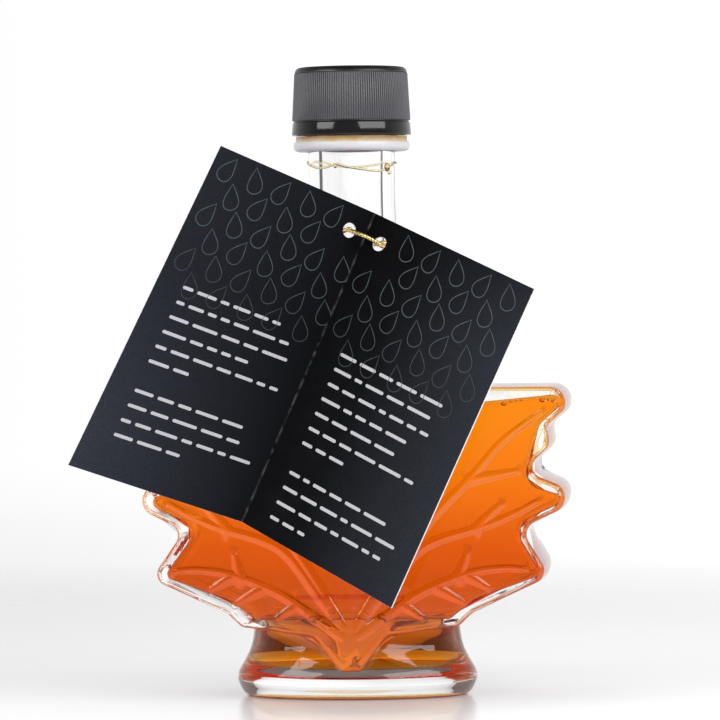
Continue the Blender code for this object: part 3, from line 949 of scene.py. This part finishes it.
def film(look):
    """A wavy thread of syrup round the neck under the ring, with small drops on it."""
    count = 180
    around = [math.radians(360.0 * k / count) for k in range(count)]
    heights = np.interp(np.degrees(around), *zip(*FILM), period=360.0)
    for _ in range(12):
        heights = (np.roll(heights, 1) + 2.0 * heights + np.roll(heights, -1)) / 4.0
    line = [Vector((NECK_RADIUS * math.sin(turn), -NECK_RADIUS * math.cos(turn), z))
            for turn, z in zip(around, heights)]
    body = tube("syrup_thread", line, lambda index, turn: FILM_RADIUS, 12)
    for turn, drop, wide in FILM_DROPS:
        x, y = math.sin(math.radians(turn)), -math.cos(math.radians(turn))
        join(body, ball("drop", (x * NECK_RADIUS, y * NECK_RADIUS, drop), (wide, wide, 1.25 * wide), 24, 14))
    smooth(body, 60.0)
    return finish(body, look, "syrup")


# Card and elastic

def card_side(side, across, down):
    """A place on a half of the card: shares from the left or the fold, and from the top."""
    left, fold, right = ([Vector(p) for p in pair] for pair in (CARD_LEFT, CARD_FOLD, CARD_RIGHT))
    start, end = ((left, fold), (fold, right))[side]
    return start[0].lerp(start[1], down).lerp(end[0].lerp(end[1], down), across)


def card(look, core):
    """The folded card, open like a book, with a soft crease and two punched holes."""
    across = 24
    down = 40
    points = []
    for row in range(down + 1):
        for column in range(2 * across + 1):
            side = min(column // across, 1)
            points.append(card_side(side, (column - side * across) / across, row / down))
    wide = 2 * across + 1
    faces = [(r * wide + c, r * wide + c + 1, (r + 1) * wide + c + 1, (r + 1) * wide + c)
             for r in range(down) for c in range(wide - 1)]
    sheet = bpy.data.meshes.new("card")
    sheet.from_pydata([p * MM for p in points], [], faces)
    body = linked(bpy.data.objects.new("card", sheet))
    sheet.materials.append(look)
    sheet.materials.append(core)
    if body.data.polygons[0].normal.y > 0:
        body.data.flip_normals()
    modify(body, "SOLIDIFY", thickness=CARD_THICK * MM, offset=-1.0, material_offset_rim=1)
    for centre, normal in holes():
        bpy.ops.mesh.primitive_cylinder_add(vertices=48, radius=HOLE_RADIUS * MM, depth=6.0 * MM,
                                            location=centre * MM,
                                            rotation=normal.to_track_quat("Z", "Y").to_euler())
        punch = named("punch")
        punch.data.materials.append(core)
        combine(body, "DIFFERENCE", punch)
    smooth(body, 20.0)
    return finish(body, None, "card", "tag")


def holes():
    """Middle of each punched hole, and the direction in which its half faces."""
    top, bottom = (Vector(p) for p in CARD_FOLD)
    down = (bottom - top).normalized()
    result = []
    for corner in (CARD_LEFT[0], CARD_RIGHT[0]):
        aside = (Vector(corner) - top).normalized()
        normal = aside.cross(down).normalized()
        result.append((top + down * HOLE_DOWN + aside * HOLE_ASIDE, normal if normal.y < 0 else -normal))
    return result


def elastic(look):
    """A twisted gold elastic: a closed loop through both holes and round the neck."""
    (left, left_out), (right, right_out) = holes()
    radius = NECK_RADIUS + CORD_RADIUS + CORD_OFF_NECK
    height = (left.z + right.z) / 2 - CORD_UNDER_HOLES
    front = [left + left_out * 0.2 + (right - left) * 0.06, (left + right) / 2 + (left_out + right_out) * 0.9,
             right + right_out * 0.2 - (right - left) * 0.06, right - right_out * CORD_BEHIND_CARD]
    behind = [Vector((radius * math.cos(turn), radius * math.sin(turn), height))
              for turn in np.radians(np.arange(-50, 231, 20))]
    line = smooth_line(front + behind + [left - left_out * CORD_BEHIND_CARD], CORD_STEP, True)
    turns = round(len(line) * CORD_STEP / CORD_TWIST)

    def strand(index, turn):
        """The twisted yarn's radius, with two ridges that wind along it."""
        return CORD_RADIUS * (1.0 + 0.13 * math.cos(2.0 * (turn - math.tau * turns * index / len(line))))

    body = tube("gold_elastic", line, strand, 16)
    smooth(body, 60.0)
    return finish(body, look, "gold_elastic", "tag_cord")


# Card print

def printed(name, look, outlines):
    """Flat ink shapes on the card: each a half of the card and a closed outline in millimetres on it."""
    points = []
    faces = []
    for side, rim, hole in outlines:
        first = len(points)
        points += [on_card(side, x, y) for x, y in rim + hole]
        size = len(rim)
        if hole:
            faces += [(first + k, first + (k + 1) % size, first + size + (k + 1) % size, first + size + k)
                      for k in range(size)]
        else:
            faces.append(tuple(range(first, first + size)))
    piece = from_points(name, points, faces)
    piece.data.update()
    for face in piece.data.polygons:
        if face.normal.y > 0:
            face.flip()
    return finish(piece, look, "card")


def on_card(side, x, y):
    """A place just in front of a half of the card, in millimetres from its upper left corner."""
    origin = card_side(side, 0.0, 0.0)
    across = card_side(side, 1.0, 0.0) - origin
    down = card_side(side, 0.0, 1.0) - origin
    normal = across.cross(down).normalized()
    lift = -PRINT_LIFT if normal.y > 0 else PRINT_LIFT
    return card_side(side, x / across.length, y / down.length) + normal * lift


def drop_shape(x, y, size, turn):
    """A teardrop outline about a middle."""
    shape = []
    for k in range(40):
        angle = math.tau * k / 40
        wide = 0.5 * size * math.sin(angle) * math.sin(angle / 2) ** 1.4
        tall = -0.5 * size * math.cos(angle) * 1.15
        shape.append((x + wide * math.cos(turn) - tall * math.sin(turn),
                      y + wide * math.sin(turn) + tall * math.cos(turn)))
    return shape


def inset_shape(shape, width):
    """The same closed outline moved inwards by a line's width."""
    line = [Vector(p) for p in shape]
    middle = sum(line, Vector((0.0, 0.0))) / len(line)
    return [tuple(p - (p - middle).normalized() * width) for p in line]


def motifs(look):
    """Rows of outlined drops over the upper part of the card, clear of its holes."""
    marks = []
    for side, hole in ((0, HALF_WIDE - HOLE_ASIDE), (1, HOLE_ASIDE)):
        for row in range(6):
            for column in range(6):
                x = DROPS_START[0] + DROPS_APART[0] * column + (DROPS_SHIFT if row % 2 else 0.0)
                y = DROPS_START[1] + DROPS_APART[1] * row
                if x > DROPS_LAST or math.hypot(x - hole, y - HOLE_DOWN) < DROPS_CLEAR:
                    continue
                shape = drop_shape(x, y, DROP_SIZE, DROP_TILT * (-1) ** (row + column))
                marks.append((side, shape, inset_shape(shape, DROP_LINE)))
    return printed("card_motifs", look, marks)


def dashes(look):
    """Short pale dashes in lines, two blocks on each half, each block's last line shorter."""
    chance = random.Random(7)
    marks = []
    for side, lines, gap in ((0, 10, 6), (1, 11, 7)):
        for line in range(lines):
            x, y = DASHES_START
            y += DASHES_APART * (line + (line >= gap))
            end = chance.uniform(14.0, 30.0) if line + 1 in (gap, lines) else chance.uniform(33.0, 44.0)
            while x < end:
                long = chance.uniform(2.2, 7.6)
                marks.append((side, capsule(x, y, long, DASH_TALL), []))
                x += long + DASH_SPACE
    return printed("card_dashes", look, marks)


def capsule(x, y, long, tall):
    """A dash with round ends, starting at a place."""
    radius = tall / 2
    shape = []
    for middle, start in ((x + long - radius, -90), (x + radius, 90)):
        for turn in np.radians(np.arange(start, start + 181, 30)):
            shape.append((middle + radius * math.cos(turn), y + radius * math.sin(turn)))
    return shape


# Stage, light and camera

def floor():
    """A pale table top with painted light, lighter on the right, that melts into the background away from the
    bottle.
    """
    bpy.ops.mesh.primitive_circle_add(vertices=96, radius=0.9, fill_type="NGON",
                                      location=(0.0, 0.0, -0.05 * MM))
    table = named("table_top")
    look = Look("pale_table", Roughness=0.2, IOR=1.4)
    # Painted light: the table's colour grows lighter towards the right.
    look.set("Base Color", look.ramp(look.range(look.axis("X"), -0.12, 0.12), [
        (0.0, (0.80, 0.79, 0.80)), (1.0, (0.93, 0.92, 0.925))]))
    away = look.vector("LENGTH", "Value", look.place())
    fade = look.range(away, 0.22, 0.6, interpolation_type="SMOOTHSTEP")
    clear = look.node("ShaderNodeBsdfTransparent")
    mix = look.node("ShaderNodeMixShader", 0, {0: fade, 1: look.shader.outputs[0], 2: clear})
    look.feed(look.tree.nodes["Material Output"].inputs["Surface"], mix)
    table.data.materials.append(look.material)


def surroundings():
    """White studio, dimmer below; through glass its dark upright gaps draw the neck's inner edges."""
    world = bpy.data.worlds.new("studio")
    bpy.context.scene.world = world
    world.use_nodes = True
    sky = Nodes(world.node_tree)
    direction = sky.node("ShaderNodeTexCoord", "Generated")
    parts = sky.node("ShaderNodeSeparateXYZ", 0, {0: direction}).node.outputs
    seen = sky.ramp(sky.range(parts["Z"], -0.1, 0.0), [
        (0.0, 0.84), (0.22, 0.84), (0.36, 0.88), (0.45, 0.92), (0.54, 0.96), (0.7, 1.04)], "B_SPLINE")
    seen = sky.sum("MULTIPLY", seen, sky.range(parts["X"], -0.16, -0.01, 0.99, 1.13))
    height = sky.ramp(sky.range(parts["Z"], 0.0, 1.0), [(0.0, 1.0), (0.2, 0.9), (0.5, 0.5), (1.0, 0.35)])
    turn = sky.sum("ARCTAN2", sky.sum("ABSOLUTE", parts["X"]), sky.sum("ABSOLUTE", parts["Y"]))
    off_gap = sky.sum("ABSOLUTE", sky.sum("SUBTRACT", turn, math.radians(sum(GAP) / 2)))
    half = math.radians(GAP[1] - GAP[0]) / 2
    level = sky.range(sky.sum("ABSOLUTE", parts["Z"]), 0.07, 0.1)
    gaps = sky.sum("MAXIMUM", level, sky.range(off_gap, half, half + math.radians(3.0), GAP_LIGHT, 1.0))
    through = sky.sum("MULTIPLY", sky.sum("MULTIPLY", seen, height), gaps)
    mirrored = sky.sum("MULTIPLY", sky.range(parts["Y"], -0.4, 0.7, FRONT_LIGHT, 0.95),
                       sky.range(parts["Z"], 0.15, 0.7, 1.0, 0.35))
    path = sky.node("ShaderNodeLightPath").node.outputs
    light = sky.choose(path["Is Diffuse Ray"], mirrored, (0.8, 0.8, 0.81, 1.0))
    light = sky.choose(path["Is Transmission Ray"], light, through)
    light = sky.choose(path["Is Camera Ray"], light, seen)
    sky.feed(sky.tree.nodes["Background"].inputs["Color"], light)


def window(name, aside, size):
    """A soft oblong light at an angle aside and above, facing the bottle."""
    light = bpy.data.lights.new(name, "AREA")
    light.shape = "RECTANGLE"
    light.size, light.size_y = size
    light.energy = WINDOW_GLOW * math.pi * size[0] * size[1]
    lamp = linked(bpy.data.objects.new(name, light))
    turn, rise = math.radians(aside), math.radians(WINDOW_UP)
    towards = Vector((math.sin(turn) * math.cos(rise), -math.cos(turn) * math.cos(rise), math.sin(rise)))
    lamp.location = (towards * WINDOW_AWAY + Vector((0.0, 0.0, WINDOW_AIM))) * MM
    lamp.rotation_euler = towards.to_track_quat("Z", "Y").to_euler()
    lamp.visible_camera = False
    lamp.visible_transmission = False


def camera():
    """The photograph's view."""
    aside = math.radians(EYE_ASIDE)
    turn = math.radians(LOOK_ASIDE) - aside
    down = math.radians(LOOK_DOWN)
    roll = math.radians(ROLL)
    ahead = Vector((math.sin(turn) * math.cos(down), math.cos(turn) * math.cos(down), -math.sin(down)))
    right = ahead.cross(UP).normalized()
    up = right.cross(ahead)
    across = math.cos(roll) * right - math.sin(roll) * up
    upwards = math.sin(roll) * right + math.cos(roll) * up
    pose = Matrix((across, upwards, -ahead)).transposed().to_4x4()
    pose.translation = Vector((EYE_AWAY * math.sin(aside), -EYE_AWAY * math.cos(aside), EYE_UP)) * MM
    data = bpy.data.cameras.new("camera")
    data.sensor_width = 36.0
    data.lens = LENS
    data.clip_end = 100.0
    eye = linked(bpy.data.objects.new("camera", data))
    eye.matrix_world = pose
    bpy.context.scene.camera = eye


def light_paths():
    """Enough bounces for glass in glass, and a plain white."""
    bpy.context.scene.view_settings.view_transform = "Standard"
    cycles = bpy.context.scene.cycles
    cycles.max_bounces = cycles.transmission_bounces = 32
    cycles.glossy_bounces = cycles.transparent_max_bounces = 16
    cycles.diffuse_bounces = 4
    cycles.sample_clamp_indirect = 8.0


bpy.ops.object.select_all(action="DESELECT")
space = hollow("space")
syrup(syrup_look(), space)
bottle([glass_look("clear_glass"), wet_glass_look(), glass_look("side_glass", 0.09),
        glass_look("stippled_base", 0.6, 0.25)], space)
cap(cap_look())
band(band_look())
pour_ring(ring_look())
film(film_look())
card(card_look(), core_look())
motifs(print_look("dim_ink", (0.034, 0.055, 0.059), True))
dashes(print_look("pale_ink", (0.4, 0.4, 0.42)))
elastic(gold_look())
floor()
surroundings()
for row in WINDOWS:
    window(*row)
camera()
light_paths()
